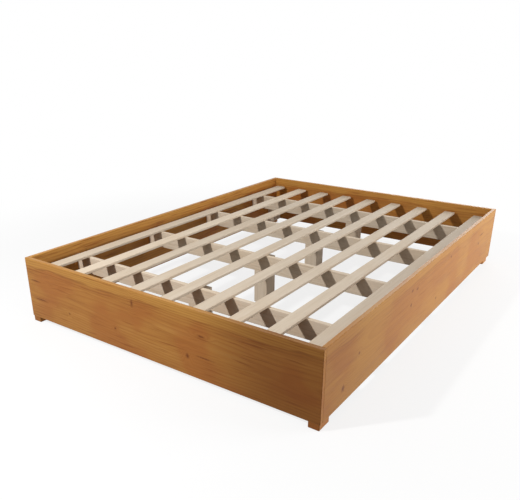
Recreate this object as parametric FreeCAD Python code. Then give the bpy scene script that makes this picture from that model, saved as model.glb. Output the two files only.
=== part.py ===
"""Low slatted floor bed frame: a box of four boards round nine slats on four cross bearers.

Millimetres. +X is to the right, +Y runs from the front board to the back board and +Z is up.
The origin is on the floor, under the middle of the frame. The front board faces -Y.
"""
import FreeCAD, Part
import math
import os

# --- driving dimensions -------------------------------------------------------------------

OUTER_LENGTH = 1963.0          # front face to back face, round a 1905 mm long mattress
OUTER_WIDTH = 1430.0           # left face to right face, round a 1372 mm wide mattress
BOARD_HEIGHT = 269.0
BOARD_THICKNESS = 18.0
BOARD_EASING = 1.5             # chamfer on a board's edges

FOOT_HEIGHT = 24.0             # the boards hang this far above the floor
FOOT_WIDTH = 42.0              # across the bed
FOOT_LENGTH = 66.0             # along the bed
FOOT_SIDE_INSET = 3.0          # from the outer face of a side board
FOOT_FRONT_INSET = 1.5         # from the front face
FOOT_BACK_INSET = 30.0         # from the back face, clear of a skirting board
FOOT_EASING = 2.0              # round the sole and up the four edges

CORNER_BLOCK_WIDTH = 40.0      # across the bed
CORNER_BLOCK_LENGTH = 90.0     # along the bed
CORNER_BLOCK_HEIGHT = 140.0
CORNER_BLOCK_CHAMFER = 10.0    # on its one free upright edge

SLAT_COUNT = 9
SLAT_WIDTH = 56.0
SLAT_THICKNESS = 11.0
SLAT_LENGTH = 1903.0
SLAT_PITCH = 160.0
SLAT_EASING = 1.5
SLAT_FRONT_GAP = 1.5           # between the slats' ends and the front board
SLAT_TOP_BELOW_RIM = 43.0

BEARER_COUNT = 4
BEARER_PITCH = 470.5
BEARER_THICKNESS = 18.0
BEARER_HEIGHT = 80.0
BEARER_EASING = 1.5
HOUSING_DEPTH = 6.0            # how far a bearer's end is let into a side board

LEG_SIZE = 70.0                # square centre leg, flush with its bearer's front face
LEG_TONGUE_DROP = 15.0         # top of the tongue, below the top of the bearer
LEG_EASING = 2.0               # round the sole and up the four edges

PLAY = 0.1                     # round a screw, a dowel and a bearer's end
ROUND_SIDES = 8                # flats that stand for the round of a screw, dowel or hole

SCREW_LENGTH = 42.0
SCREW_HEAD = 9.0
SCREW_SHANK = 4.5
SCREW_POINT = 6.0              # length of the tapered end
SCREW_TIP = 0.8
SCREW_BITE = 14.0              # how far a screw goes into a board or a bearer
SCREW_BORE = 12.0              # straight bore that lets a head in below the surface
FOOT_SCREW_SINK = 1.0          # of the head, above the sole
FOOT_SCREW_INSET = 13.5        # from the inner face of a side board
FOOT_SCREW_SPREAD = 26.4       # between the two in a foot
END_SCREW_RISES = (28.0, 91.0)      # block to end board, above the boards' lower edge
SIDE_SCREW_RISES = (70.0, 126.0)    # block to side board, above the boards' lower edge
LEG_SCREW_RISES = (28.0, 48.0)      # left one and right one, above the leg's shoulder

DOWEL_DIAMETER = 8.0
DOWEL_LENGTH = 34.0
DOWEL_IN_END_BOARD = 11.0
DOWEL_DROPS = (30.0, 62.0)     # below the rim

BRAD_WIDTH = 1.6               # rectangular wire
BRAD_DEPTH = 1.3
BRAD_HEAD_WIDTH = 3.0
BRAD_HEAD_THICKNESS = 1.0
BRAD_LENGTH = 35.0
BRAD_SINK = 0.3                # of the head, below the slat's top face
BRAD_STEP = (14.0, 4.0)        # of a pair, from the middle of a crossing, across and along

# --- places worked out from them ----------------------------------------------------------

HALF_WIDTH = OUTER_WIDTH / 2
HALF_LENGTH = OUTER_LENGTH / 2
INNER_X = HALF_WIDTH - BOARD_THICKNESS
INNER_Y = HALF_LENGTH - BOARD_THICKNESS
RIM_Z = FOOT_HEIGHT + BOARD_HEIGHT

SLAT_TOP_Z = RIM_Z - SLAT_TOP_BELOW_RIM
BEARER_TOP_Z = SLAT_TOP_Z - SLAT_THICKNESS
BEARER_BOTTOM_Z = BEARER_TOP_Z - BEARER_HEIGHT
LEG_TOP_Z = BEARER_TOP_Z - LEG_TONGUE_DROP

SLAT_START_Y = -INNER_Y + SLAT_FRONT_GAP
DECK_MIDDLE_Y = SLAT_START_Y + SLAT_LENGTH / 2
SLAT_X = [(i - (SLAT_COUNT - 1) / 2) * SLAT_PITCH for i in range(SLAT_COUNT)]
BEARER_Y = [DECK_MIDDLE_Y + (i - (BEARER_COUNT - 1) / 2) * BEARER_PITCH
            for i in range(BEARER_COUNT)]

CORNERS = {"front_left": (-1, -1), "front_right": (1, -1),
           "back_left": (-1, 1), "back_right": (1, 1)}


# --- shapes -------------------------------------------------------------------------------

def vector(x, y, z):
    return FreeCAD.Vector(x, y, z)


def block(low, high):
    """Plain block between two opposite corners, given in either order."""
    start = [min(a, b) for a, b in zip(low, high)]
    size = [abs(b - a) for a, b in zip(low, high)]
    return Part.makeBox(*size, vector(*start))


def edges_along(shape, axis):
    """Straight edges that run along one axis: 0 is X, 1 is Y and 2 is Z."""
    return [edge for edge in shape.Edges
            if abs(edge.tangentAt(edge.FirstParameter)[axis]) > 0.99]


def edges_at(shape, height):
    """Edges that lie flat at a height."""
    return [edge for edge in shape.Edges
            if abs(edge.BoundBox.ZMin - height) + abs(edge.BoundBox.ZMax - height) < 0.01]


def flat_face(corners):
    return Part.Face(Part.makePolygon(corners + corners[:1]))


def prism(points, travel):
    """Closed flat outline carried along a straight travel."""
    return flat_face([vector(*point) for point in points]).extrude(vector(*travel))


def placed(shape, at, out):
    """The shape with its origin moved to a place and its +Z turned to point outwards."""
    turn = FreeCAD.Rotation(vector(0, 0, 1), vector(*out))
    shape.Placement = FreeCAD.Placement(vector(*at), turn)
    return shape


def turned(profile):
    """Solid with flats round +Z, through a profile of (radius, height) pairs."""
    angles = [2 * math.pi * (i + 0.5) / ROUND_SIDES for i in range(ROUND_SIDES)]
    rings = [[vector(radius * math.cos(a), radius * math.sin(a), height) for a in angles]
             for radius, height in profile]
    faces = [flat_face(rings[0]), flat_face(rings[-1])]
    for ring, following in zip(rings, rings[1:]):
        faces += [flat_face([ring[i - 1], ring[i], following[i], following[i - 1]])
                  for i in range(ROUND_SIDES)]
    solid = Part.Solid(Part.Shell(faces))
    if solid.Volume < 0:
        solid.reverse()
    return solid


# --- fasteners, each as a pair: its solid and the hole that takes it ----------------------

def screw(head_at, out, bore):
    """Countersunk screw driven against out, its head at the bottom of a straight bore."""
    def profile(play):
        head, shank, tip = [size / 2 + play for size in (SCREW_HEAD, SCREW_SHANK, SCREW_TIP)]
        return [(head, 0), (shank, shank - head), (shank, SCREW_POINT - SCREW_LENGTH),
                (tip, -SCREW_LENGTH - play)]

    way_in = [(SCREW_BORE / 2, bore), (SCREW_BORE / 2, 0)]
    return (placed(turned(profile(0)), head_at, out),
            placed(turned(way_in + profile(PLAY)), head_at, out))


def dowel(start, out):
    """Dowel that begins at a place and runs along out."""
    def peg(play):
        radius = DOWEL_DIAMETER / 2 + play
        return placed(turned([(radius, -play), (radius, DOWEL_LENGTH + play)]), start, out)

    return peg(0), peg(PLAY)


def brad(head_at):
    """Wire brad with a T head, driven straight down; it fills its own hole."""
    wire, head, depth = BRAD_WIDTH / 2, BRAD_HEAD_WIDTH / 2, BRAD_DEPTH / 2

    def outline(top):
        half = [(head, top), (head, -BRAD_HEAD_THICKNESS), (wire, -BRAD_HEAD_THICKNESS),
                (wire, -BRAD_LENGTH)]
        return half + [(-y, z) for y, z in reversed(half)]

    def nail(top):
        shape = prism([(-depth, y, z) for y, z in outline(top)], (2 * depth, 0, 0))
        return placed(shape, head_at, (0, 0, 1))

    return nail(0), nail(2 * BRAD_SINK)


def corner_screws():
    """Two from each corner block into its end board and two into its side board."""
    screws = []
    for side, end in CORNERS.values():
        for rise in END_SCREW_RISES:
            head = (side * (INNER_X - CORNER_BLOCK_WIDTH / 2),
                    end * (INNER_Y + SCREW_BITE - SCREW_LENGTH), FOOT_HEIGHT + rise)
            screws.append(screw(head, (0, -end, 0), CORNER_BLOCK_LENGTH))
        for rise in SIDE_SCREW_RISES:
            head = (side * (INNER_X + SCREW_BITE - SCREW_LENGTH),
                    end * (INNER_Y - CORNER_BLOCK_LENGTH / 2), FOOT_HEIGHT + rise)
            screws.append(screw(head, (-side, 0, 0), CORNER_BLOCK_WIDTH))
    return screws


def foot_screws():
    """Two up through each foot into its corner block."""
    screws = []
    for side, end in CORNERS.values():
        start, stop = foot_corners(side, end)
        for step in (-1, 1):
            y = (start[1] + stop[1] + step * FOOT_SCREW_SPREAD) / 2
            head = (side * (INNER_X - FOOT_SCREW_INSET), y, FOOT_SCREW_SINK)
            screws.append(screw(head, (0, 0, -1), 2 * FOOT_SCREW_SINK))
    return screws


def leg_screws():
    """Two from the back of each leg's tongue into its bearer, so that its front stays clean."""
    return [screw((side * LEG_SIZE / 4,
                   y + BEARER_THICKNESS / 2 - SCREW_BITE + SCREW_LENGTH,
                   BEARER_BOTTOM_Z + rise), (0, 1, 0), LEG_SIZE)
            for y in BEARER_Y for side, rise in zip((-1, 1), LEG_SCREW_RISES)]


def corner_dowels():
    """Two in the butt joint at each corner, above the corner block."""
    reach = INNER_Y + DOWEL_IN_END_BOARD
    return [dowel((side * (HALF_WIDTH - BOARD_THICKNESS / 2), end * reach, RIM_Z - drop),
                  (0, -end, 0))
            for side, end in CORNERS.values() for drop in DOWEL_DROPS]


def slat_brads():
    """A staggered pair where each slat crosses each bearer."""
    across, along = BRAD_STEP
    return [brad((x + turn * across, y + turn * along, SLAT_TOP_Z - BRAD_SINK))
            for x in SLAT_X for y in BEARER_Y for turn in (-1, 1)]


# --- wooden pieces, before their holes are made -------------------------------------------

def end_board(end):
    """Short board across the front or the back; it covers the side boards' ends."""
    board = block((-HALF_WIDTH, end * HALF_LENGTH, FOOT_HEIGHT),
                  (HALF_WIDTH, end * INNER_Y, RIM_Z))
    return board.makeChamfer(BOARD_EASING, board.Edges)


def side_board(side):
    """Long board between the end boards, with a stopped housing for each bearer's end."""
    board = block((side * HALF_WIDTH, -INNER_Y, FOOT_HEIGHT), (side * INNER_X, INNER_Y, RIM_Z))
    board = board.makeChamfer(BOARD_EASING, edges_along(board, 1))
    half = BEARER_THICKNESS / 2 + PLAY
    housings = [block((side * INNER_X, y - half, BEARER_BOTTOM_Z),
                      (side * (INNER_X + HOUSING_DEPTH + PLAY), y + half, BEARER_TOP_Z + PLAY))
                for y in BEARER_Y]
    return board.cut(housings)


def corner_block(side, end):
    """Upright block in a corner, chamfered on the edge that stands free."""
    x, y = side * INNER_X, end * INNER_Y
    far_x = side * (INNER_X - CORNER_BLOCK_WIDTH)
    far_y = end * (INNER_Y - CORNER_BLOCK_LENGTH)
    cut_x = far_x + side * CORNER_BLOCK_CHAMFER
    cut_y = far_y + end * CORNER_BLOCK_CHAMFER
    outline = [(x, y), (far_x, y), (far_x, cut_y), (cut_x, far_y), (x, far_y)]
    return prism([(a, b, FOOT_HEIGHT) for a, b in outline], (0, 0, CORNER_BLOCK_HEIGHT))


def foot_corners(side, end):
    """Two opposite corners of one foot: outer and low, then inner and high."""
    x = side * (HALF_WIDTH - FOOT_SIDE_INSET)
    y = end * (HALF_LENGTH - (FOOT_FRONT_INSET if end < 0 else FOOT_BACK_INSET))
    return (x, y, 0), (x - side * FOOT_WIDTH, y - end * FOOT_LENGTH, FOOT_HEIGHT)


def foot(side, end):
    """Low block under a corner, chamfered round its sole and up its four edges."""
    body = block(*foot_corners(side, end))
    return body.makeChamfer(FOOT_EASING, edges_at(body, 0) + edges_along(body, 2))


def bearer(y):
    """Cross bearer on edge, let into both side boards."""
    reach, half = INNER_X + HOUSING_DEPTH, BEARER_THICKNESS / 2
    bar = block((-reach, y - half, BEARER_BOTTOM_Z), (reach, y + half, BEARER_TOP_Z))
    return bar.makeChamfer(BEARER_EASING, edges_along(bar, 0))


def centre_leg(y):
    """Square leg: its shoulder carries the bearer and its tongue rises behind the bearer."""
    front, seat_back = y - BEARER_THICKNESS / 2, y + BEARER_THICKNESS / 2
    back = front + LEG_SIZE
    outline = [(front, 0), (back, 0), (back, LEG_TOP_Z), (seat_back, LEG_TOP_Z),
               (seat_back, BEARER_BOTTOM_Z), (front, BEARER_BOTTOM_Z)]
    leg = prism([(-LEG_SIZE / 2, a, z) for a, z in outline], (LEG_SIZE, 0, 0))
    uprights = [edge for edge in edges_along(leg, 2) if edge.BoundBox.ZMin < LEG_EASING]
    return leg.makeChamfer(LEG_EASING, edges_at(leg, 0) + uprights)


def slat(x):
    """Flat slat along the bed, eased on its four long edges."""
    bar = block((x - SLAT_WIDTH / 2, SLAT_START_Y, BEARER_TOP_Z),
                (x + SLAT_WIDTH / 2, SLAT_START_Y + SLAT_LENGTH, SLAT_TOP_Z))
    return bar.makeChamfer(SLAT_EASING, edges_along(bar, 1))


# --- assembly -----------------------------------------------------------------------------

def drilled(piece, fasteners):
    """The piece with a hole for each fastener that reaches into it."""
    holes = [hole for solid, hole in fasteners if piece.BoundBox.intersect(solid.BoundBox)]
    return piece.cut(holes) if holes else piece


def assembly():
    """Every piece by its name; each kind of fastener is one group of separate solids."""
    wood = {"front_board": end_board(-1), "back_board": end_board(1),
            "left_side_board": side_board(-1), "right_side_board": side_board(1)}
    for name, (side, end) in CORNERS.items():
        wood["foot_" + name] = foot(side, end)
        wood["corner_block_" + name] = corner_block(side, end)
    for number, y in enumerate(BEARER_Y, 1):
        wood[f"bearer_{number}"] = bearer(y)
        wood[f"centre_leg_{number}"] = centre_leg(y)
    for number, x in enumerate(SLAT_X, 1):
        wood[f"slat_{number}"] = slat(x)

    fasteners = {"corner_screws": corner_screws(), "foot_screws": foot_screws(),
                 "leg_screws": leg_screws(), "corner_dowels": corner_dowels(),
                 "slat_brads": slat_brads()}
    every = sum(fasteners.values(), [])
    pieces = {name: drilled(piece, every) for name, piece in wood.items()}
    for name, kind in fasteners.items():
        pieces[name] = Part.makeCompound([solid for solid, hole in kind])
    return pieces


os.makedirs("parts", exist_ok=True)
for node, piece in assembly().items():
    piece.exportStep(os.path.join("parts", node + ".step"))
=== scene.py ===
"""Looks of a low slatted floor bed frame: its woods, its steel, and the stage it stands on.

Metres, in the bed's own axes: +X to the right, +Y from the front board to the back one, +Z up.
"""

import math

import bpy
import numpy as np
from bpy.props import FloatProperty, FloatVectorProperty, IntProperty, PointerProperty
from bpy.types import Operator, Panel, PropertyGroup
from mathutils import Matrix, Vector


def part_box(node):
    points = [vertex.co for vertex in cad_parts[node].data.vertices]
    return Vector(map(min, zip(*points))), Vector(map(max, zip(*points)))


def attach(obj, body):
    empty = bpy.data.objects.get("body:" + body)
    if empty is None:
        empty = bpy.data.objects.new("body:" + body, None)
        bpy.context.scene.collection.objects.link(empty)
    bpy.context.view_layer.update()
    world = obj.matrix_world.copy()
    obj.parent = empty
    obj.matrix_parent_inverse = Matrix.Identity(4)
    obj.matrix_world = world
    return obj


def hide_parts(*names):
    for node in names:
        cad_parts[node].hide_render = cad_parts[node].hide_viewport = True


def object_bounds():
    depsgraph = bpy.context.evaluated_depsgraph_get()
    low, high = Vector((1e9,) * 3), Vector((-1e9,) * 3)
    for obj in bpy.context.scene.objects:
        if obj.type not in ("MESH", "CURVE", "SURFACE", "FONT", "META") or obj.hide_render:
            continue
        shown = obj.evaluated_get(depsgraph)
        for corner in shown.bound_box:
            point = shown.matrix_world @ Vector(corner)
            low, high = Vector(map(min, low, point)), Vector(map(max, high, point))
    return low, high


bl_info = {
    "name": "Slatted Floor Bed",
    "version": (1, 0, 0),
    "blender": (4, 5, 0),
    "location": "3D View > Sidebar > Floor Bed",
    "description": "Stained boards, bare slats and steel fixings of a low floor bed",
    "category": "Object",
}

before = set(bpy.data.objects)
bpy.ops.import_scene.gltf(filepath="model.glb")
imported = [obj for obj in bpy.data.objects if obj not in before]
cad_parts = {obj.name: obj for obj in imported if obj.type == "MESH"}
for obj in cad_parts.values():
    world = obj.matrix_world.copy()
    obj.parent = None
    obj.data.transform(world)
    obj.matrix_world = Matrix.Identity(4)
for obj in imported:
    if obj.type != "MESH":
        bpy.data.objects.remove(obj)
CAD_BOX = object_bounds()

MM = 0.001
CORNERS = ("front_left", "front_right", "back_left", "back_right")
SLATS, BEARERS, LEGS = (
    sorted(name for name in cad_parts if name.startswith(start) and name[-1].isdigit())
    for start in ("slat_", "bearer_", "centre_leg_"))

# Rays that show the white background as it is: straight, mirrored and through glass.
LOOKING_RAYS = ("Camera", "Glossy", "Transmission")

# Turns that lay the grain of the wood pattern, which runs along X, along an axis of the bed.
GRAIN_TURNS = {"X": (0, 0, 0), "Y": (0, 0, math.pi / 2), "Z": (0, -math.pi / 2, 0)}

# A smooth noise runs from 0 to 1. This is its middle, and where most of its values lie.
NOISE_MIDDLE = 0.5
NOISE_RANGE = (0.35, 0.65)


def srgb(red, green, blue):
    """Screen colour, 0 to 255 in each channel, as the linear colour that a shader takes."""
    shares = np.array([red, green, blue]) / 255
    linear = np.where(shares <= 0.04045, shares / 12.92, ((shares + 0.055) / 1.055) ** 2.4)
    return tuple(float(share) for share in linear)


# --- sizes and colours that a user would change ---

def colour(name, description, *screen):
    """Colour property, given as a screen colour."""
    return FloatVectorProperty(name=name, description=description, default=srgb(*screen),
                               subtype="COLOR", size=3, min=0, max=1)


def length(name, description, millimetres):
    """Length property, given in millimetres."""
    return FloatProperty(name=name, description=description, default=millimetres * MM,
                         unit="LENGTH", precision=5, min=0)


def share(name, description, default):
    """Property that goes from 0 to 1."""
    return FloatProperty(name=name, description=description, default=default,
                         subtype="FACTOR", min=0, max=1)


def location(name, *metres):
    """Place property, given in metres."""
    return FloatVectorProperty(name=name, description="Its place", subtype="TRANSLATION",
                               unit="LENGTH", default=metres)


def watts(name, default):
    """Power property of a lamp."""
    return FloatProperty(name=name, description="Of the lamp, in watts", default=default, min=0)


class StainedWoodSettings(PropertyGroup):
    light: colour("Light honey", "Palest streaks of the stained boards", 190, 137, 74)
    middle: colour("Honey", "Most of the stained boards", 178, 120, 56)
    dark: colour("Dark honey", "Darkest streaks of the stained boards", 158, 97, 42)
    russet: colour("Russet", "Reddish patches in the stained boards", 168, 100, 47)
    vein: colour("Vein", "Fine dark veins along the grain", 141, 80, 31)
    gold: colour("Gold", "Sapwood along a board's upper edge", 194, 143, 69)
    seam: colour("Seam", "Dark lines under the sapwood", 112, 61, 20)
    knot: colour("Knot", "Heart of a knot under the stain", 106, 54, 20)
    ring_spacing: length("Ring spacing", "Between growth rings", 8.5)
    roughness: share("Roughness", "Of the satin varnish", 0.42)
    shine: share("Shine", "Specular level of the varnish", 0.18)


class BareWoodSettings(PropertyGroup):
    light: colour("Light", "Palest early wood", 219, 204, 185)
    middle: colour("Middle", "Most of the planed wood", 212, 196, 175)
    dark: colour("Dark", "Darkest streaks", 198, 178, 153)
    russet: colour("Warm", "Warm patches", 205, 182, 153)
    vein: colour("Vein", "Fine dark veins along the grain", 182, 159, 131)
    knot: colour("Knot", "Heart of a pin knot", 124, 90, 61)
    ring_spacing: length("Ring spacing", "Between growth rings", 4.2)
    roughness: share("Roughness", "Of the planed surface", 0.68)
    shine: share("Shine", "Specular level of the bare wood", 0.3)
    # Painted light: the bearers and legs are drawn paler than the slats of the same wood, for
    # light from below that the dim floor bounce holds back.
    under: FloatProperty(name="Under", description="Paleness of the bearers and legs, next to "
                         "the slats' own", default=1.08, min=0.5, max=1.5)


class SlatSettings(PropertyGroup):
    arris: length("Arris", "Radius of a slat's long edges", 1.8)
    end_easing: length("End easing", "Of the sawn ends", 0.6)
    sweep: length("Sweep", "Most that a slat bends sideways at its middle", 0.7)
    dent: length("Dent", "Depth of the dent over a brad", 0.36)


class ScrewSettings(PropertyGroup):
    head: length("Head radius", "Of the countersunk head", 4.1)
    core: length("Core radius", "At the root of the thread", 1.45)
    crest: length("Crest radius", "At the crest of the thread", 2.05)
    pitch: length("Pitch", "Of the thread", 2.0)
    plain: length("Plain shank", "Between the head and the thread", 11.0)
    point: length("Point", "Length of the taper at the tip", 6.0)
    recess: length("Recess", "Depth of the cross recess", 1.6)
    recess_reach: length("Recess reach", "From the middle to the end of an arm", 2.3)
    steel: colour("Zinc", "Bright zinc plate", 196, 196, 190)


class DowelSettings(PropertyGroup):
    radius: length("Radius", "Over the crests of the flutes", 3.65)
    flute: length("Flute", "Depth of a flute", 0.25)
    flutes: IntProperty(name="Flutes", description="Round the dowel", default=16, min=3)
    taper: length("Taper", "Chamfer at each end", 1.2)
    beech: colour("Beech", "Plain turned beech", 206, 170, 128)


class StageSettings(PropertyGroup):
    camera_place: location("Camera", 1.4158, -2.3722, 1.130)
    camera_swing: FloatProperty(name="Swing", description="Camera's turn to the left",
                                subtype="ANGLE", default=math.radians(35.013))
    camera_dip: FloatProperty(name="Dip", description="Camera's tilt below level",
                              subtype="ANGLE", default=math.radians(23.207))
    sensor_width: FloatProperty(name="Sensor width", description="Of the camera",
                                unit="CAMERA", default=36, min=1)
    focal_length: FloatProperty(name="Focal length", description="Of the lens, for that sensor",
                                unit="CAMERA", default=40.94, min=1)
    shift: FloatVectorProperty(name="Shift", description="Of the lens, across and up",
                               size=2, default=(0.0221, 0.0875))
    key_place: location("Key lamp", -0.83, -2.7, 2.05)
    key_power: watts("Key power", 64)
    key_size: length("Key size", "Side of the square key lamp", 150)
    back_place: location("Back lamp", -0.35, 3.6, 1.2)
    back_power: watts("Back power", 40)
    back_size: length("Back size", "Side of the square back lamp", 2000)
    side_place: location("Side lamp", 3.2, 1.1, 0.6)
    side_power: watts("Side power", 104)
    side_size: length("Side size", "Side of the square side lamp", 2000)
    sky: FloatProperty(name="Sky", description="Strength of the even light from all round",
                       default=0.39, min=0)
    floor_reach: length("Floor reach", "From the floor's middle to its sides", 60000)
    paper: colour("Paper", "Floor, as the camera sees it", 250, 250, 250)
    paper_roughness: share("Paper roughness", "Of the floor", 0.9)
    bounce: colour("Bounce", "Floor, as it lights the bed from below", 128, 128, 128)
    clean_floor: share("Clean floor", "How much of the floor's shade the camera doesn't see", 0.8)
    clean_from: length("Clean from", "Where the shade starts to fade, from the middle", 1300)
    clean_past: length("Clean past", "Where the shade has gone", 2600)


# --- shader building ---

def add_node(tree, kind, inputs=None, **settings):
    """Adds a node; an input is linked where it is given a socket, and else set."""
    node = tree.nodes.new(kind)
    for name, value in settings.items():
        setattr(node, name, value)
    for key, value in (inputs or {}).items():
        if isinstance(value, bpy.types.NodeSocket):
            tree.links.new(value, node.inputs[key])
        else:
            node.inputs[key].default_value = value
    return node


def maths(tree, operation, first, second=0.0, third=0.0):
    """One sum on numbers, each a socket or a plain value."""
    node = add_node(tree, "ShaderNodeMath", {0: first, 1: second, 2: third}, operation=operation)
    return node.outputs[0]


def vector_maths(tree, operation, first, second=(0, 0, 0), result="Vector"):
    """One sum on vectors, each a socket or a plain vector."""
    node = add_node(tree, "ShaderNodeVectorMath", {0: first, 1: second}, operation=operation)
    return node.outputs[result]


def noise(tree, vector, scale, detail=3.0, roughness=0.5, stretch=(1, 1, 1)):
    """Smooth noise from 0 to 1, stretched along the axes by dividing the point by stretch."""
    squeezed = vector_maths(tree, "DIVIDE", vector, stretch)
    return add_node(tree, "ShaderNodeTexNoise",
                    {"Vector": squeezed, "Scale": scale, "Detail": detail,
                     "Roughness": roughness}).outputs["Fac"]


def blend(tree, share_of_second, first, second, blend_type="MIX"):
    """Mix of two colours; each is a socket or a colour."""
    node = tree.nodes.new("ShaderNodeMix")
    node.data_type = "RGBA"
    node.blend_type = blend_type
    node.clamp_factor = True
    # A mix node's inputs 6 and 7 are its two colours, and its output 2 is their mix.
    for socket, value in zip((node.inputs[0], node.inputs[6], node.inputs[7]),
                             (share_of_second, first, second)):
        if isinstance(value, bpy.types.NodeSocket):
            tree.links.new(value, socket)
        elif isinstance(value, (int, float)):
            socket.default_value = value
        else:
            socket.default_value = (*value, 1)
    return node.outputs[2]


def lay_over(tree, tone, cover, most, over, blend_type="MIX"):
    """Lays a colour over a tone by a cover from 0 to 1, times the most of it that shows."""
    return blend(tree, maths(tree, "MULTIPLY", cover, most), tone, over, blend_type)


def ease(tree, value, low, high):
    """0 below low, 1 above high, and a smooth step between; low may be above high."""
    node = add_node(tree, "ShaderNodeMapRange",
                    {"Value": value, "From Min": low, "From Max": high},
                    interpolation_type="SMOOTHSTEP", clamp=True)
    return node.outputs["Result"]


def ramp(tree, value, stops):
    """Colour by value, through (place, colour) stops."""
    node = add_node(tree, "ShaderNodeValToRGB", {0: value})
    line = node.color_ramp
    while len(line.elements) < len(stops):
        line.elements.new(0.5)
    for element, (position, tone) in zip(line.elements, stops):
        element.position = position
        element.color = (*tone, 1)
    return node.outputs["Color"]


def mottled(tree, value, tone, dull):
    """Colour that rises with a noise, from a dull share of the tone to the whole of it."""
    low, high = NOISE_RANGE
    return ramp(tree, value, [(low, tuple(dull * part for part in tone)), (high, tone)])


def new_material(name, **uniform):
    """Material with a Principled shader, whose even values are set on its own sockets."""
    material = bpy.data.materials.new(name)
    material.use_nodes = True
    shader = material.node_tree.nodes["Principled BSDF"]
    for key, value in uniform.items():
        shader.inputs[key.replace("_", " ").title().replace("Ior", "IOR")].default_value = value
    return material, material.node_tree, shader


# --- how wood and steel are drawn ---
#
# A pair says where an effect starts and where it is full.

# Scale, detail and roughness of each noise, and how far it is drawn out along each axis. The
# grain runs along the first.
WOOD_NOISES = {
    "Streak": (48.0, 4.0, 0.55, (16, 1, 1)),
    "Fibre": (420.0, 2.0, 0.6, (40, 1, 1)),
    "Patch": (5.0, 2.5, 0.45, (1.3, 1, 1)),
    "Wave": (4.0, 3.0, 0.5, (1, 6, 6)),
    "Vein": (130.0, 2.0, 0.5, (24, 1, 1)),
    "Pore": (900.0, 1.0, 0.5, (16, 1, 1)),
}

# The noise that bends the rings, and how far apart it can move them, from side to side.
BEND_SCALE, BEND_DETAIL, BEND_STRETCH = 2.6, 2.0, (2.6, 1, 1)
BEND_SPAN = 75 * MM

# Late wood, and the end of a ring, as shares of its width.
LATE_WOOD = (0.35, 0.9)
RING_END = (1.0, 0.93)


def growth_group(ring_spacing, name):
    """Group that grows wood in a log whose heart runs along X through the origin.

    A ring is a shell of one distance from the heart. The distance is bent by slow noise, so
    that a plank's wide face shows arches and its edge shows lines. Late wood is the last part
    of each ring. Streaks and fibres are noise drawn out along the grain.
    """
    group = bpy.data.node_groups.new(name, "ShaderNodeTree")
    group.interface.new_socket("Point", in_out="INPUT", socket_type="NodeSocketVector")
    group.interface.new_socket("Swirl", in_out="INPUT", socket_type="NodeSocketFloat")
    for output in ("Ring", *WOOD_NOISES):
        group.interface.new_socket(output, in_out="OUTPUT", socket_type="NodeSocketFloat")
    entry = group.nodes.new("NodeGroupInput")
    leave = group.nodes.new("NodeGroupOutput")
    point = entry.outputs["Point"]

    slow = add_node(group, "ShaderNodeTexNoise",
                    {"Vector": vector_maths(group, "DIVIDE", point, BEND_STRETCH),
                     "Scale": BEND_SCALE, "Detail": BEND_DETAIL}).outputs["Color"]
    swing = vector_maths(group, "MULTIPLY",
                         vector_maths(group, "SUBTRACT", slow, 3 * (NOISE_MIDDLE,)),
                         (0, BEND_SPAN, BEND_SPAN))
    across = vector_maths(group, "MULTIPLY", vector_maths(group, "ADD", point, swing), (0, 1, 1))
    distance = vector_maths(group, "LENGTH", across, result="Value")
    count = maths(group, "ADD", maths(group, "DIVIDE", distance, ring_spacing),
                  entry.outputs["Swirl"])
    part = maths(group, "FRACT", count)
    ring = maths(group, "MULTIPLY", ease(group, part, *LATE_WOOD), ease(group, part, *RING_END))

    group.links.new(ring, leave.inputs["Ring"])
    for output, recipe in WOOD_NOISES.items():
        group.links.new(noise(group, point, *recipe), leave.inputs[output])
    return group


# The noise that makes a knot ragged, and how far it moves the rim, in half sizes.
KNOT_NOISE_SCALE, KNOT_RAGGED = 150.0, 1.2
# How dark a knot is, by the distance from its middle in half sizes of the knot.
KNOT_DARK = (1.45, 0.1)
# How far off the rings bend round a knot, and by how many rings at its middle.
KNOT_REACH, KNOT_RINGS = (4.5, 0.0), 2.2


def knot_masks(tree, place, knots):
    """(darkness, swirl) of knots, each (middle, half sizes), in the object's own metres.

    The distance from a knot's middle is counted in its half sizes, so that 1 is its rim, and
    is made ragged by noise. Darkness goes from 0 past the rim to 1 at the heart. Swirl shifts
    the count of the rings near the knot, so that they bend round it.
    """
    darkness, swirl = 0.0, 0.0
    ragged = maths(tree, "MULTIPLY_ADD", noise(tree, place, KNOT_NOISE_SCALE), KNOT_RAGGED,
                   -KNOT_RAGGED * NOISE_MIDDLE)
    for middle, half_sizes in knots:
        away = vector_maths(tree, "LENGTH", vector_maths(
            tree, "DIVIDE", vector_maths(tree, "SUBTRACT", place, middle), half_sizes),
            result="Value")
        heart = ease(tree, maths(tree, "ADD", away, ragged), *KNOT_DARK)
        darkness = maths(tree, "MAXIMUM", darkness, heart)
        swirl = maths(tree, "MULTIPLY_ADD", ease(tree, away, *KNOT_REACH), KNOT_RINGS, swirl)
    return darkness, swirl


# How far the streaks, and the slow wave too, lift the rim's figure at most.
RIM_WAVE = 30 * MM
# Depth at which the sapwood has ended, and up to which it is full.
SAPWOOD_END = (74 * MM, 55 * MM)
# Depth and share of each seam.
SEAMS = ((67 * MM, 0.65), (79 * MM, 0.45), (90 * MM, 0.3))
# Half a seam's width, and the patches where seams show.
SEAM_WIDTH = (4.2 * MM, 0.8 * MM)
SEAM_PATCH = (0.34, 0.56)


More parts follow.
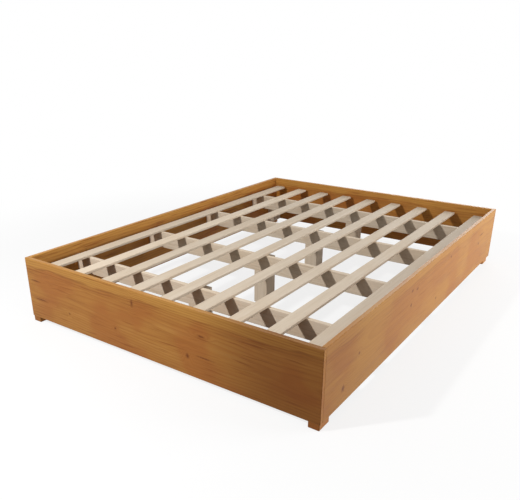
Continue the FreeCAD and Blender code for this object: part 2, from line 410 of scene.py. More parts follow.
def rim_figure(tree, wood, depth, tone, settings, gold):
    """Gold sapwood along a board's upper edge, with dark seams just under it.

    depth is the distance below the rim. The sapwood ends, and each seam runs, where the depth
    with a slow wave and fine streaks added reaches a set value. Seams fade in and out.
    """
    wavy = maths(tree, "MULTIPLY_ADD", wood["Streak"], RIM_WAVE,
                 maths(tree, "MULTIPLY_ADD", wood["Wave"], RIM_WAVE, depth))
    tone = lay_over(tree, tone, ease(tree, wavy, *SAPWOOD_END), gold, settings.gold)
    for level, strength in SEAMS:
        off = maths(tree, "ABSOLUTE", maths(tree, "SUBTRACT", wavy, level))
        seam = maths(tree, "MULTIPLY", ease(tree, off, *SEAM_WIDTH),
                     ease(tree, wood["Patch"], *SEAM_PATCH))
        tone = lay_over(tree, tone, seam, strength * gold, settings.seam)
    return tone


# The values of the streaks at which a plank is dark, middling and light.
STREAK_STOPS = (0.08, 0.50, 0.92)
# The values of the noises at which each figure shows, and the most of its colour that shows.
RUSSET_PATCH, MOST_RUSSET = (0.50, 0.62), 0.55
GOLD_PATCH = (0.62, 0.32)
MOST_RING = 0.42
VEIN_LINE, MOST_VEIN = (0.42, 0.30), 0.7
MOST_KNOT = 0.85
# Painted shade that darkens a stretch of a board or foot: its tint, and how far the
# streaks make its edge ragged.
PAINTED_SHADE_TINT = (0.56, 0.49, 0.43)
PAINTED_SHADE_RAGGED = 120 * MM
# How squarely a face looks along an axis to count as square to it; how dark end grain is.
SQUARE_ON, MOST_END_GRAIN = (0.8, 0.95), 0.35
# From the darkest fibre to the palest, next to the tone.
FIBRE_SPAN = 0.30
# Height of fibres and rings, and depth of knots, next to a pore's depth; where pores show; and
# the strength and height of the whole relief.
FIBRE_RELIEF, RING_RELIEF, KNOT_RELIEF = 0.6, 0.5, 0.8
PORE_SPOT = (0.64, 0.74)
RELIEF_STRENGTH, RELIEF_HEIGHT = 0.3, 0.3 * MM
# From the glossiest streak to the dullest.
ROUGHNESS_SPAN = 0.16
WOOD_IOR = 1.45


def wood_material(name, settings, group, grain, heart, knots=(), rim=None, gold=0.0, deep=None,
                  contrast=1.0, paleness=1.0, mottle=0.0):
    """Plank of one log: streaks, rings, patches, knots and end grain in the object's metres.

    grain is the axis that the wood grows along, and heart a point on the log's middle. rim is
    the height of a board's upper edge, where the wood turns to gold by that share, and mottle
    the share of gold in patches elsewhere. The stretch darkened by painted shade is given as
    (axis, from, to, share), and it falls on the faces that lie along that axis. The whole tone
    is multiplied by paleness.
    """
    material, tree, shader = new_material(name, specular_ior_level=settings.shine, ior=WOOD_IOR)
    place = tree.nodes.new("ShaderNodeTexCoord")
    log = add_node(tree, "ShaderNodeMapping",
                   {"Vector": place.outputs["Object"], "Location": heart,
                    "Rotation": GRAIN_TURNS[grain]}, vector_type="TEXTURE").outputs["Vector"]
    darkness, swirl = knot_masks(tree, place.outputs["Object"], knots)
    wood = add_node(tree, "ShaderNodeGroup", {"Point": log, "Swirl": swirl},
                    node_tree=group).outputs

    def facing(axis):
        """How squarely the surface faces along an axis, from 0 to 1."""
        way = tuple(float(letter == axis) for letter in "XYZ")
        return maths(tree, "ABSOLUTE", vector_maths(
            tree, "DOT_PRODUCT", place.outputs["Normal"], way, result="Value"))

    tones = (settings.dark, settings.middle, settings.light)
    tone = ramp(tree, wood["Streak"], tuple(zip(STREAK_STOPS, tones)))
    tone = lay_over(tree, tone, ease(tree, wood["Patch"], *RUSSET_PATCH),
                    MOST_RUSSET * contrast, settings.russet)
    if mottle:
        tone = lay_over(tree, tone, ease(tree, wood["Patch"], *GOLD_PATCH), mottle,
                        settings.gold)
    parts = add_node(tree, "ShaderNodeSeparateXYZ", {0: place.outputs["Object"]}).outputs
    if rim:
        depth = maths(tree, "SUBTRACT", rim, parts["Z"])
        tone = rim_figure(tree, wood, depth, tone, settings, gold)
    tone = lay_over(tree, tone, wood["Ring"], MOST_RING * contrast, settings.dark)
    tone = lay_over(tree, tone, ease(tree, wood["Vein"], *VEIN_LINE), MOST_VEIN * contrast,
                    settings.vein)
    # Painted shade: darkens a stretch along one axis, on the faces that lie along that axis.
    if deep:
        axis, start, end, strength = deep
        ragged = maths(tree, "MULTIPLY_ADD", wood["Streak"], PAINTED_SHADE_RAGGED, parts[axis])
        painted_darkening = maths(tree, "MULTIPLY", ease(tree, ragged, start, end),
                          ease(tree, facing(axis), *reversed(SQUARE_ON)))
        tone = lay_over(tree, tone, painted_darkening, strength, PAINTED_SHADE_TINT, "MULTIPLY")
    fibres = maths(tree, "MULTIPLY_ADD", wood["Fibre"], FIBRE_SPAN * contrast * paleness,
                   (1 - FIBRE_SPAN * NOISE_MIDDLE * contrast) * paleness)
    grey = add_node(tree, "ShaderNodeCombineXYZ", {0: fibres, 1: fibres, 2: fibres}).outputs[0]
    tone = blend(tree, 1.0, tone, grey, "MULTIPLY")
    tone = lay_over(tree, tone, darkness, MOST_KNOT, settings.knot)
    tone = lay_over(tree, tone, ease(tree, facing(grain), *SQUARE_ON), MOST_END_GRAIN,
                    settings.dark)
    tree.links.new(tone, shader.inputs["Base Color"])

    relief = maths(tree, "ADD", maths(tree, "MULTIPLY", wood["Fibre"], FIBRE_RELIEF),
                   maths(tree, "MULTIPLY", wood["Ring"], RING_RELIEF))
    relief = maths(tree, "SUBTRACT", relief, maths(tree, "MULTIPLY", darkness, KNOT_RELIEF))
    relief = maths(tree, "SUBTRACT", relief, ease(tree, wood["Pore"], *PORE_SPOT))
    bump = add_node(tree, "ShaderNodeBump", {"Strength": RELIEF_STRENGTH,
                                             "Distance": RELIEF_HEIGHT, "Height": relief})
    tree.links.new(bump.outputs["Normal"], shader.inputs["Normal"])
    rough = maths(tree, "MULTIPLY_ADD", wood["Streak"], ROUGHNESS_SPAN,
                  settings.roughness - ROUGHNESS_SPAN * NOISE_MIDDLE)
    tree.links.new(rough, shader.inputs["Roughness"])
    return material


# Zinc plate: the noise of its mottling, the share of the tone in its dull spots, its least
# roughness and what the mottling adds to that.
ZINC_NOISE = (900.0, 3.0, 0.6)
ZINC_DULL = 0.62
ZINC_LEAST_ROUGH, ZINC_ROUGH_SPAN = 0.24, 0.25


def steel_material(name, tone):
    """Zinc plate: its roughness and tone are mottled by fine noise."""
    material, tree, shader = new_material(name, metallic=1.0)
    place = tree.nodes.new("ShaderNodeTexCoord").outputs["Object"]
    spots = noise(tree, place, *ZINC_NOISE)
    tree.links.new(mottled(tree, spots, tone, ZINC_DULL), shader.inputs["Base Color"])
    rough = maths(tree, "MULTIPLY_ADD", spots, ZINC_ROUGH_SPAN, ZINC_LEAST_ROUGH)
    tree.links.new(rough, shader.inputs["Roughness"])
    return material


# Beech: the noise of its streaks, the share of the tone in the dull ones, and its roughness.
BEECH_NOISE = (260.0, 3.0, 0.55, (1, 12, 1))
BEECH_DULL = 0.7
BEECH_ROUGH = 0.6


def beech_material(name, tone):
    """Turned beech: fine streaks along the dowels."""
    material, tree, shader = new_material(name, roughness=BEECH_ROUGH)
    place = tree.nodes.new("ShaderNodeTexCoord").outputs["Object"]
    streaks = noise(tree, place, *BEECH_NOISE)
    tree.links.new(mottled(tree, streaks, tone, BEECH_DULL), shader.inputs["Base Color"])
    return material


# --- choosing where each plank was cut ---

# How deep behind a plank the heart lies, and how far aside, both times the depth asked for, and
# how far the log is shifted along its grain, in metres.
HEART_DEPTH = (0.8, 1.3)
HEART_ASIDE = (-0.6, 0.6)
LOG_SHIFT = (-9, 9)


def heart_for(node, grain, wide, seed, depth):
    """Point on the heart of a log for a plank: depth behind its wide face, a little aside.

    grain is the axis along the plank and wide the axis across its wide face. A seeded draw
    shifts the log along the grain too, so that no two planks carry the same figure.
    """
    draw = np.random.default_rng(seed)
    low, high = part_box(node)
    heart = (np.array(low) + np.array(high)) / 2
    behind = ({"X", "Y", "Z"} - {grain, wide}).pop()
    heart["XYZ".index(behind)] -= depth * draw.uniform(*HEART_DEPTH)
    heart["XYZ".index(wide)] += depth * draw.uniform(*HEART_ASIDE)
    heart["XYZ".index(grain)] += draw.uniform(*LOG_SHIFT)
    return tuple(float(part) for part in heart)


def dress(node, material):
    """Gives a CAD node its finish, on the slots of its object."""
    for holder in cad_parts[node].material_slots:
        holder.link = "OBJECT"
        holder.material = material


# --- surfaces ---

# Edges between faces that meet at more than this stay sharp.
SHARP_ANGLE = math.radians(42)


def shells_mesh(name, shells):
    """Mesh of closed shells from an array (shell, ring, point, 3).

    Neighbouring points of neighbouring rings make a quad, the last point of a ring meets its
    first, and a fan to the ring's middle closes each end. A shell that comes out with a
    negative volume is turned round, so that all faces point outwards.
    """
    shell_count, ring_count, point_count = shells.shape[:3]
    poles = shells[:, [0, -1]].mean(2)
    points = np.concatenate([shells.reshape(shell_count, -1, 3), poles], 1)
    step = np.arange(ring_count - 1)[:, None] * point_count
    here = np.arange(point_count)
    following = (here + 1) % point_count
    quads = np.stack([step + here, step + following, step + point_count + following,
                      step + point_count + here], -1).reshape(-1, 4)
    first_pole = ring_count * point_count
    last_ring = first_pole - point_count
    fans = np.concatenate([
        np.stack([np.full(point_count, first_pole), following, here], -1),
        np.stack([np.full(point_count, first_pole + 1), last_ring + here,
                  last_ring + following], -1)])
    corners = np.concatenate([quads[:, [0, 1, 2]], quads[:, [0, 2, 3]], fans])
    a, b, c = (points[0][corners[:, i]] for i in range(3))
    if np.einsum("ij,ij->i", a, np.cross(b, c)).sum() < 0:
        quads, fans = quads[:, ::-1], fans[:, ::-1]
    offsets = np.arange(shell_count)[:, None, None] * points.shape[1]
    faces = (quads + offsets).reshape(-1, 4).tolist() + (fans + offsets).reshape(-1, 3).tolist()
    mesh = bpy.data.meshes.new(name)
    mesh.from_pydata(points.reshape(-1, 3), [], faces)
    mesh.shade_smooth()
    mesh.set_sharp_from_angle(angle=SHARP_ANGLE)
    return mesh


def piece(name, shells, material, slot, *nodes):
    """Object that stands for CAD nodes, riding on the frame's one body."""
    made = bpy.data.objects.new(name, shells_mesh(name, shells))
    bpy.context.collection.objects.link(made)
    made.data.materials.append(material)
    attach(made, "root")
    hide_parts(*nodes)


# A point this share of a rod's length from its middle, or further, belongs to an end.
ROD_END = 0.4


def rods(node, count):
    """Where a group's rods lie: (head places, outward directions), one row for each.

    The node's points come rod by rod. A rod's axis is the long side of its box, and its head
    is the end whose points spread further from that axis.
    """
    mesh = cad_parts[node].data
    points = np.empty(3 * len(mesh.vertices))
    mesh.vertices.foreach_get("co", points)
    points = points.reshape(count, -1, 3)
    low, high = points.min(1), points.max(1)
    middle, axis = (low + high) / 2, (high - low).argmax(1)
    rows = np.arange(count)
    way = np.eye(3)[axis]
    away = points - middle[:, None]
    along = np.einsum("rpi,ri->rp", away, way)
    spread = np.linalg.norm(away - along[..., None] * way[:, None], axis=2)
    long = (high - low)[rows, axis][:, None]
    top_spread = np.where(along > ROD_END * long, spread, 0).max(1)
    foot_spread = np.where(along < -ROD_END * long, spread, 0).max(1)
    outward = way * np.where(top_spread >= foot_spread, 1, -1)[:, None]
    return middle + outward * long / 2, outward


def stand_at(shape, places, outward):
    """Copies of a shape (ring, point, 3), each moved to a place with its +Z turned outward."""
    side = np.roll(outward, 1, axis=1)
    other = np.cross(outward, side)
    turns = np.stack([side, other, outward], -1)
    return np.einsum("nij,rpj->nrpi", turns, shape) + places[:, None, None]


# Half the size of a brad's head, across and along the slat, and the soft border of its dent.
BRAD_HALF = np.array([0.9, 1.75]) * MM
DENT_BORDER = 0.45 * MM
# Points of a slat's section on its top, a quarter circle, a side and its underside; then the
# sections along it, and where they lie in an end's easing.
TOP_POINTS, ARC_POINTS, SIDE_POINTS, FOOT_POINTS = 9, 6, 3, 7
SLAT_SECTIONS = 41
END_SECTIONS = np.array([0, 0.35, 1])
# Decimals, in metres, to which brads lie in one line, and the least gap to the top that counts.
LINE_DECIMALS, TOP_GAP = 6, 1e-6


def slat_shell(low, high, brads, settings, seed):
    """Slat as a rounded bar, with a dent over each brad.

    The section is a rectangle whose corners are quarter circles of the arris radius. It is
    carried along Y, moves sideways by sweep times a half sine, and shrinks by the end easing
    at each end. The top sinks by the dent, times a soft box round each brad's head. Sections
    and stations lie closer together near the brads.
    """
    draw = np.random.default_rng(seed)
    half_width, half_height = (high[0] - low[0]) / 2, (high[2] - low[2]) / 2
    middle = (low + high) / 2
    radius = settings.arris
    border = np.array([0, DENT_BORDER])

    flat = half_width - radius
    columns = np.unique(np.round(brads[:, 0] - middle[0], LINE_DECIMALS))
    near = np.concatenate([column + side * (BRAD_HALF[0] + border)
                           for column in columns for side in (-1, 1)])
    top_x = np.unique(np.concatenate([np.linspace(-flat, flat, TOP_POINTS), near]))
    turn = np.linspace(0, math.pi / 2, ARC_POINTS)[1:-1]
    arc = radius * np.stack([np.sin(turn), np.cos(turn)], -1)
    right_top = np.array([flat, half_height - radius]) + arc
    right_foot = np.array([flat, radius - half_height]) + arc[::-1] * (1, -1)
    side_z = np.linspace(1, -1, SIDE_POINTS) * (half_height - radius)
    right = np.concatenate([
        right_top, np.stack([np.full(SIDE_POINTS, half_width), side_z], -1), right_foot])
    foot_x = np.linspace(flat, -flat, FOOT_POINTS)
    section = np.concatenate([
        np.stack([top_x, np.full(len(top_x), half_height)], -1), right,
        np.stack([foot_x, np.full(FOOT_POINTS, -half_height)], -1), (right * (-1, 1))[::-1]])

    rows = np.unique(np.round(brads[:, 1], LINE_DECIMALS))
    near = np.concatenate([row + side * (BRAD_HALF[1] + border)
                           for row in rows for side in (-1, 1)])
    ease_in = settings.end_easing * END_SECTIONS
    even = np.linspace(low[1], high[1], SLAT_SECTIONS)[1:-1]
    stations = np.unique(np.concatenate([even, near, low[1] + ease_in, high[1] - ease_in]))
    gap = np.minimum(stations - low[1], high[1] - stations)
    to_go = 1 - np.clip(gap / settings.end_easing, 0, 1)
    shrink = settings.end_easing * (1 - np.sqrt(np.clip(1 - to_go ** 2, 0, 1)))
    run = (stations - low[1]) / (high[1] - low[1])
    sweep = settings.sweep * draw.uniform(-1, 1) * np.sin(math.pi * run)

    x = section[None, :, 0] * (1 - shrink[:, None] / half_width) + sweep[:, None]
    z = section[None, :, 1] * (1 - shrink[:, None] / half_height)
    y = np.broadcast_to(stations[:, None], x.shape)
    away = np.abs(np.stack(np.broadcast_arrays(
        section[None, :, None, 0] + middle[0] - brads[None, None, :, 0],
        stations[:, None, None] - brads[None, None, :, 1]), -1))
    inside = np.clip((BRAD_HALF + DENT_BORDER - away) / DENT_BORDER, 0, 1).prod(-1).max(-1)
    z = z - settings.dent * inside * (section[None, :, 1] > half_height - TOP_GAP)
    return np.stack([x + middle[0], y, z + middle[2]], -1)


# Points round a screw, rings on its face and on its point, and rings to each turn of thread.
SCREW_POINTS, FACE_RINGS, POINT_RINGS, RINGS_A_TURN = 24, 12, 18, 7
# Radius of the face's innermost ring, as a share of the head's, and of the blunt tip, as a share
# of the core's. The tip stops short of the full length by its gap.
FACE_HUB, POINT_TIP, TIP_GAP = 0.06, 0.12, 0.2 * MM
# Thickness of the head's edge.
HEAD_EDGE = 0.25 * MM
# Half the foot of the thread's ridge, in pitches, and its least height on the point.
RIDGE_HALF, LEAST_RIDGE = 0.3, 0.15
# Half the width of a recess's arm, as a share of its reach, the slopes at its end and sides, and
# how deep its middle would be, as a share of its depth, were it not flat.
ARM_HALF, ARM_END_SLOPE, ARM_SIDE_SLOPE, RECESS_MIDDLE = 0.2, 0.3 * MM, 0.2 * MM, 1.15


def screw_shape(settings, full_length):
    """Countersunk wood screw with its head at the origin and its point down -Z.

    The surface is r(t, a), z(t): a head face with a cross recess, a cone down to the shank, a
    plain shank, a thread and a point. The thread adds, to the core radius, the step to the
    crest times a sharp ridge that climbs one pitch for each turn.
    """
    angle = np.linspace(0, 2 * math.pi, SCREW_POINTS, endpoint=False)
    cone = settings.head - settings.crest
    start = cone + settings.plain
    tip = full_length - settings.point
    thread_z = np.arange(start, tip, settings.pitch / RINGS_A_TURN)[1:]
    point_z = np.linspace(tip, full_length - TIP_GAP, POINT_RINGS)
    depth = np.concatenate([np.zeros(FACE_RINGS), [HEAD_EDGE, cone, start], thread_z, point_z])
    base = np.concatenate([np.linspace(FACE_HUB, 1, FACE_RINGS) * settings.head,
                           [settings.head, settings.crest, settings.crest],
                           np.full(len(thread_z), settings.core),
                           np.linspace(1, POINT_TIP, POINT_RINGS) * settings.core])
    turned = (depth[:, None] / settings.pitch - angle / (2 * math.pi)) % 1 - 1 / 2
    ridge = np.clip(1 - np.abs(turned) / RIDGE_HALF, 0, 1)
    height = (settings.crest - settings.core) * np.clip(
        (full_length - depth) / settings.point, LEAST_RIDGE, 1)
    radius = base[:, None] + (depth > start)[:, None] * height[:, None] * ridge
    x, y = radius * np.cos(angle), radius * np.sin(angle)

    reach = settings.recess_reach
    side = ARM_HALF * reach + ARM_SIDE_SLOPE
    cross = np.maximum(*(np.clip((reach - np.abs(long)) / ARM_END_SLOPE, 0, 1)
                         * np.clip((side - np.abs(short)) / ARM_SIDE_SLOPE, 0, 1)
                         for long, short in ((x, y), (y, x))))
    sunk = cross * np.clip(RECESS_MIDDLE - np.hypot(x, y) / reach, 0, 1)
    on_face = (np.arange(len(depth)) < FACE_RINGS)[:, None]
    return np.stack([x, y, -depth[:, None] - settings.recess * on_face * sunk], -1)


# Points round each flute of a dowel, rings along it, and how much narrower it is at its ends.
FLUTE_POINTS, DOWEL_RINGS, END_NARROWING = 6, 7, 0.7 * MM


def dowel_shape(settings, full_length):
    """Fluted dowel from the origin down -Z.

    The radius is the crest radius less the flute depth times a squared sine of the angle, and
    it narrows in a straight taper at both ends.
    """
    angle = np.linspace(0, 2 * math.pi, FLUTE_POINTS * settings.flutes, endpoint=False)
    even = np.linspace(0, full_length, DOWEL_RINGS)[1:-1]
    depth = np.concatenate([[0, settings.taper], even,
                            [full_length - settings.taper, full_length]])
    end_gap = np.minimum(depth, full_length - depth)
    narrow = np.clip(1 - end_gap / settings.taper, 0, 1) * END_NARROWING
    flute = settings.flute * np.sin(settings.flutes * angle / 2) ** 2
    radius = settings.radius - narrow[:, None] - flute
    return np.stack([radius * np.cos(angle), radius * np.sin(angle),
                     np.broadcast_to(-depth[:, None], radius.shape)], -1)


# --- operators ---

def settings_of(context):
    """All the bed's own settings."""
    return context.scene.floor_bed


def plank(context, kind, node, grain, wide, seed, depth, **figure):
    """Finish of a plank of stained or bare wood. Each kind's growth is made once."""
    settings = getattr(settings_of(context), kind)
    growth = kind + " growth"
    if growth not in bpy.data.node_groups:
        growth_group(settings.ring_spacing, growth)
    return wood_material(node + "_finish", settings, bpy.data.node_groups[growth], grain,
                         heart_for(node, grain, wide, seed, depth), **figure)


def dress_planks(context, kind, nodes, grain, wide, first_seed, depth, **figure):
    """Gives CAD nodes their finish, each as a plank from its own place in a log."""
    for seed, node in enumerate(nodes, first_seed):
        dress(node, plank(context, kind, node, grain, wide, seed, depth, **figure))


class FLOORBED_OT_boards(Operator):
    """Stains the four boards, with their knots and the gold band under the rim"""
    bl_idname = "floor_bed.boards"
    bl_label = "Boards"

    # Share of gold under the rim and in patches, contrast of the figure, paleness, painted shade
    # and knots of each board. The paleness is painted light and shade, the boards being of one
    # stain: each is lighter or darker by how light falls on it. The painted shade is the axis and
    # the metres over which it comes in, and how dark it gets; it darkens the front board towards
    # its right end and the right board towards its front. A knot is given by its place along the
    # board and its height, and by half its length and half its height, in millimetres.
    figures = {
        "front_board": (0.7, 0.25, 1.0, 0.93, ("X", 0.22, 0.62, 1.0), (
            (-88, 240, 7, 17), (240, 198, 17, 5), (176, 103, 8, 11), (256, 116, 46, 3),
            (-660, 198, 38, 4), (-640, 116, 44, 4), (-460, 98, 6, 5), (-190, 108, 6, 5))),
        "right_side_board": (0.4, 0.4, 0.5, 0.93, ("Y", 0.1, -0.9, 0.22), (
            (-832, 84, 11, 13), (-246, 231, 11, 7), (-190, 221, 13, 6), (-246, 169, 9, 8),
            (-720, 167, 6, 6), (232, 235, 9, 6), (702, 171, 10, 7), (75, 87, 10, 6),
            (736, 211, 36, 4))),
        "left_side_board": (0.6, 0.3, 1.0, 1.02, None,
                            ((-560, 120, 8, 7), (90, 210, 12, 5), (640, 90, 9, 8))),
        "back_board": (0.6, 0.3, 1.0, 1.08, None, ((-420, 110, 8, 7), (310, 190, 12, 4))),
    }
    # How far a knot goes in behind a board's outer face.
    knot_depth = 12 * MM

    first_seed = 11

    def execute(self, context):
        for seed, (node, figure) in enumerate(self.figures.items(), self.first_seed):
            gold, mottle, contrast, paleness, deep, knots = figure
            low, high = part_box(node)
            outer = {"front_board": low.y, "back_board": high.y, "left_side_board": low.x,
                     "right_side_board": high.x}[node]
            # The columns go along the board, through it and up, or else through, along and up.
            grain, order = ("Y", [1, 0, 2]) if "side" in node else ("X", [0, 1, 2])
            knots = np.array(knots) * MM
            middles = np.insert(knots[:, :2], 1, outer, axis=1)[:, order].tolist()
            half_sizes = np.insert(knots[:, 2:], 1, self.knot_depth, axis=1)[:, order].tolist()
            dress(node, plank(context, "stained", node, grain, "Z", seed, depth=90 * MM,
                              knots=list(zip(middles, half_sizes)), rim=high.z, gold=gold,
                              mottle=mottle, contrast=contrast, paleness=paleness, deep=deep))
        return {"FINISHED"}


class FLOORBED_OT_feet(Operator):
    """Stains the four feet"""
    bl_idname = "floor_bed.feet"
    bl_label = "Feet"

    # Painted shade on the two front feet, on their faces that lie along X, given as for the
    # boards.
    painted_darkening = {"front_left": ("X", 0.0, -0.3, 0.6), "front_right": ("X", 0.0, 0.3, 1.0)}
    first_seed = 31

    def execute(self, context):
        for seed, corner in enumerate(CORNERS, self.first_seed):
            node = "foot_" + corner
            dress(node, plank(context, "stained", node, "Y", "X", seed, depth=50 * MM,
                              deep=self.painted_darkening.get(corner)))
        return {"FINISHED"}


class FLOORBED_OT_slats(Operator):
    """Makes the nine slats, eased and dented over their brads"""
    bl_idname = "floor_bed.slats"
    bl_label = "Slats"

    # The second slat from the left is drawn paler than the rest.
    pale_slat, its_paleness = "slat_2", 1.15
    brads_a_crossing = 2
    first_seed = 51

    def execute(self, context):
        heads, _ = rods("slat_brads", self.brads_a_crossing * len(SLATS) * len(BEARERS))
        for seed, node in enumerate(SLATS, self.first_seed):
            low, high = (np.array(corner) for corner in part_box(node))
            mine = heads[(heads[:, 0] > low[0]) & (heads[:, 0] < high[0])]
            shell = slat_shell(low, high, mine, settings_of(context).slats, seed)
            paleness = self.its_paleness if node == self.pale_slat else 1.0
            material = plank(context, "bare", node, "Y", "X", seed, depth=60 * MM, contrast=0.4,
                             paleness=paleness)
            piece(node + "_planed", shell[None], material, "bare_wood", node)
        return {"FINISHED"}


class FLOORBED_OT_bearers(Operator):
    """Gives the cross bearers their planed bare wood"""
    bl_idname = "floor_bed.bearers"
    bl_label = "Bearers"

    def execute(self, context):
        # Their paleness is painted light from below, set by bare wood's Under.
        dress_planks(context, "bare", BEARERS, "X", "Z", first_seed=71, depth=60 * MM,
                     contrast=0.6, paleness=settings_of(context).bare.under)
        return {"FINISHED"}


class FLOORBED_OT_centre_legs(Operator):
    """Gives the notched centre legs their planed bare wood"""
    bl_idname = "floor_bed.centre_legs"
    bl_label = "Centre Legs"

    def execute(self, context):
        # Their paleness is painted light from below, set by bare wood's Under.
        dress_planks(context, "bare", LEGS, "Z", "X", first_seed=81, depth=45 * MM,
                     contrast=0.6, paleness=settings_of(context).bare.under)
        return {"FINISHED"}


class FLOORBED_OT_corner_blocks(Operator):
    """Gives the four corner blocks their sawn bare wood"""
    bl_idname = "floor_bed.corner_blocks"
    bl_label = "Corner Blocks"

    def execute(self, context):
        blocks = ["corner_block_" + corner for corner in CORNERS]
        dress_planks(context, "bare", blocks, "Z", "Y", first_seed=91, depth=50 * MM)
        return {"FINISHED"}


class FLOORBED_OT_screws(Operator):
    """Makes the countersunk wood screws, with their threads and cross recesses"""
    bl_idname = "floor_bed.screws"
    bl_label = "Screws"

    counts = {"corner_screws": 16, "foot_screws": 8, "leg_screws": 8}
    full_length = 42 * MM

    def execute(self, context):
        settings = settings_of(context).screws
        material = steel_material("zinc_plate", settings.steel)
        shape = screw_shape(settings, self.full_length)
        for node, count in self.counts.items():
            piece(node + "_threaded", stand_at(shape, *rods(node, count)), material,
                  "zinc_steel", node)
        return {"FINISHED"}


class FLOORBED_OT_dowels(Operator):
    """Makes the fluted beech dowels of the corner joints"""
    bl_idname = "floor_bed.dowels"
    bl_label = "Dowels"

    count = 8
    full_length = 34 * MM

    def execute(self, context):
        settings = settings_of(context).dowels
        shape = dowel_shape(settings, self.full_length)
        piece("corner_dowels_fluted", stand_at(shape, *rods("corner_dowels", self.count)),
              beech_material("beech_dowel", settings.beech), "dowel_wood", "corner_dowels")
        return {"FINISHED"}


class FLOORBED_OT_brads(Operator):
    """Gives the slats' brads their zinc plate"""
    bl_idname = "floor_bed.brads"
    bl_label = "Brads"

    def execute(self, context):
        dress("slat_brads", steel_material("brad_wire", settings_of(context).screws.steel))
        return {"FINISHED"}


def area_lamp(name, place, aim, power, side):
    """Square area lamp at a place, facing a point."""
    lamp = bpy.data.lights.new(name, "AREA")
    lamp.energy = power
    lamp.size = side
    holder = bpy.data.objects.new(name, lamp)
    bpy.context.collection.objects.link(holder)
    holder.location = place
    gaze = aim - holder.location
    holder.rotation_euler = gaze.to_track_quat("-Z", "Y").to_euler()


def rays_of(tree, *kinds):
    """1 for rays of the kinds named, and 0 for the rest."""
    rays = tree.nodes.new("ShaderNodeLightPath").outputs
    found = 0.0
    for kind in kinds:
        found = maths(tree, "MAXIMUM", found, rays[f"Is {kind} Ray"])
    return found


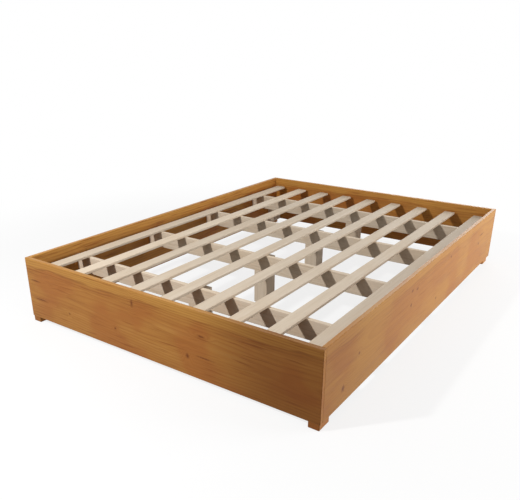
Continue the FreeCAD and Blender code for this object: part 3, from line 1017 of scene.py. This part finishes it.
class FLOORBED_OT_stage(Operator):
    """Sets the paper floor, the lamps, the sky and the camera"""
    bl_idname = "floor_bed.stage"
    bl_label = "Stage"

    def execute(self, context):
        stage = settings_of(context).stage
        scene = context.scene
        scene.view_settings.view_transform = "Standard"
        low, high = CAD_BOX
        middle = (low + high) / 2

        mesh = bpy.data.meshes.new("paper_floor")
        reach = stage.floor_reach
        mesh.from_pydata([(-reach, -reach, 0), (reach, -reach, 0), (reach, reach, 0),
                          (-reach, reach, 0)], [], [(0, 1, 2, 3)])
        floor = bpy.data.objects.new("paper_floor", mesh)
        context.collection.objects.link(floor)
        floor.location.z = low.z
        material, tree, shader = new_material("paper", roughness=stage.paper_roughness)
        tree.links.new(blend(tree, rays_of(tree, "Diffuse"), stage.paper, stage.bounce),
                       shader.inputs["Base Color"])
        glow = add_node(tree, "ShaderNodeEmission")
        place = tree.nodes.new("ShaderNodeTexCoord").outputs["Object"]
        fade = ease(tree, vector_maths(tree, "LENGTH", place, result="Value"),
                    stage.clean_from, stage.clean_past)
        cleaned = maths(tree, "MULTIPLY_ADD", fade, 1 - stage.clean_floor, stage.clean_floor)
        share_of_glow = maths(tree, "MULTIPLY", rays_of(tree, *LOOKING_RAYS), cleaned)
        mixed = add_node(tree, "ShaderNodeMixShader",
                         {0: share_of_glow, 1: shader.outputs[0], 2: glow.outputs[0]})
        tree.links.new(mixed.outputs[0], tree.nodes["Material Output"].inputs["Surface"])
        mesh.materials.append(material)

        world = bpy.data.worlds.new("studio")
        world.use_nodes = True
        scene.world = world
        sky = world.node_tree
        even = sky.nodes["Background"]
        even.inputs["Color"].default_value = (1, 1, 1, 1)
        even.inputs["Strength"].default_value = stage.sky
        white = add_node(sky, "ShaderNodeBackground", {"Color": (1, 1, 1, 1)})
        mixed = add_node(sky, "ShaderNodeMixShader",
                         {0: rays_of(sky, *LOOKING_RAYS), 1: even.outputs[0], 2: white.outputs[0]})
        sky.links.new(mixed.outputs[0], sky.nodes["World Output"].inputs["Surface"])

        for lamp in ("key", "back", "side"):
            area_lamp(lamp + "_lamp", getattr(stage, lamp + "_place"), middle,
                      getattr(stage, lamp + "_power"), getattr(stage, lamp + "_size"))

        lens = bpy.data.cameras.new("camera")
        lens.sensor_width = stage.sensor_width
        lens.lens = stage.focal_length
        lens.shift_x, lens.shift_y = stage.shift
        camera = bpy.data.objects.new("camera", lens)
        context.collection.objects.link(camera)
        camera.location = stage.camera_place
        camera.rotation_euler = (math.pi / 2 - stage.camera_dip, 0, stage.camera_swing)
        scene.camera = camera
        return {"FINISHED"}


# --- panel and registration ---

STEPS = (FLOORBED_OT_boards, FLOORBED_OT_feet, FLOORBED_OT_slats, FLOORBED_OT_bearers,
         FLOORBED_OT_centre_legs, FLOORBED_OT_corner_blocks, FLOORBED_OT_screws,
         FLOORBED_OT_dowels, FLOORBED_OT_brads, FLOORBED_OT_stage)


class FloorBedSettings(PropertyGroup):
    stained: PointerProperty(type=StainedWoodSettings, name="Stained wood",
                             description="Boards and feet")
    bare: PointerProperty(type=BareWoodSettings, name="Bare wood",
                          description="Slats, bearers, legs and blocks")
    slats: PointerProperty(type=SlatSettings, name="Slats", description="Their shape")
    screws: PointerProperty(type=ScrewSettings, name="Screws", description="Their shape")
    dowels: PointerProperty(type=DowelSettings, name="Dowels", description="Their shape")
    stage: PointerProperty(type=StageSettings, name="Stage", description="Lamps and camera")


class FLOORBED_PT_panel(Panel):
    """Lists the steps that dress the bed"""
    bl_label = "Floor Bed"
    bl_idname = "FLOORBED_PT_panel"
    bl_space_type = "VIEW_3D"
    bl_region_type = "UI"
    bl_category = "Floor Bed"

    def draw(self, context):
        for step in STEPS:
            self.layout.operator(step.bl_idname)


CLASSES = (StainedWoodSettings, BareWoodSettings, SlatSettings, ScrewSettings, DowelSettings,
           StageSettings, FloorBedSettings, *STEPS, FLOORBED_PT_panel)


def register():
    """Makes the settings, the steps and the panel known to Blender."""
    for kind in CLASSES:
        bpy.utils.register_class(kind)
    bpy.types.Scene.floor_bed = PointerProperty(type=FloorBedSettings)


def unregister():
    """Undoes what register() did."""
    del bpy.types.Scene.floor_bed
    for kind in reversed(CLASSES):
        bpy.utils.unregister_class(kind)


def main():
    """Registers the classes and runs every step."""
    register()
    for step in STEPS:
        group, name = step.bl_idname.split(".")
        getattr(getattr(bpy.ops, group), name)()


if __name__ == "__main__":
    main()
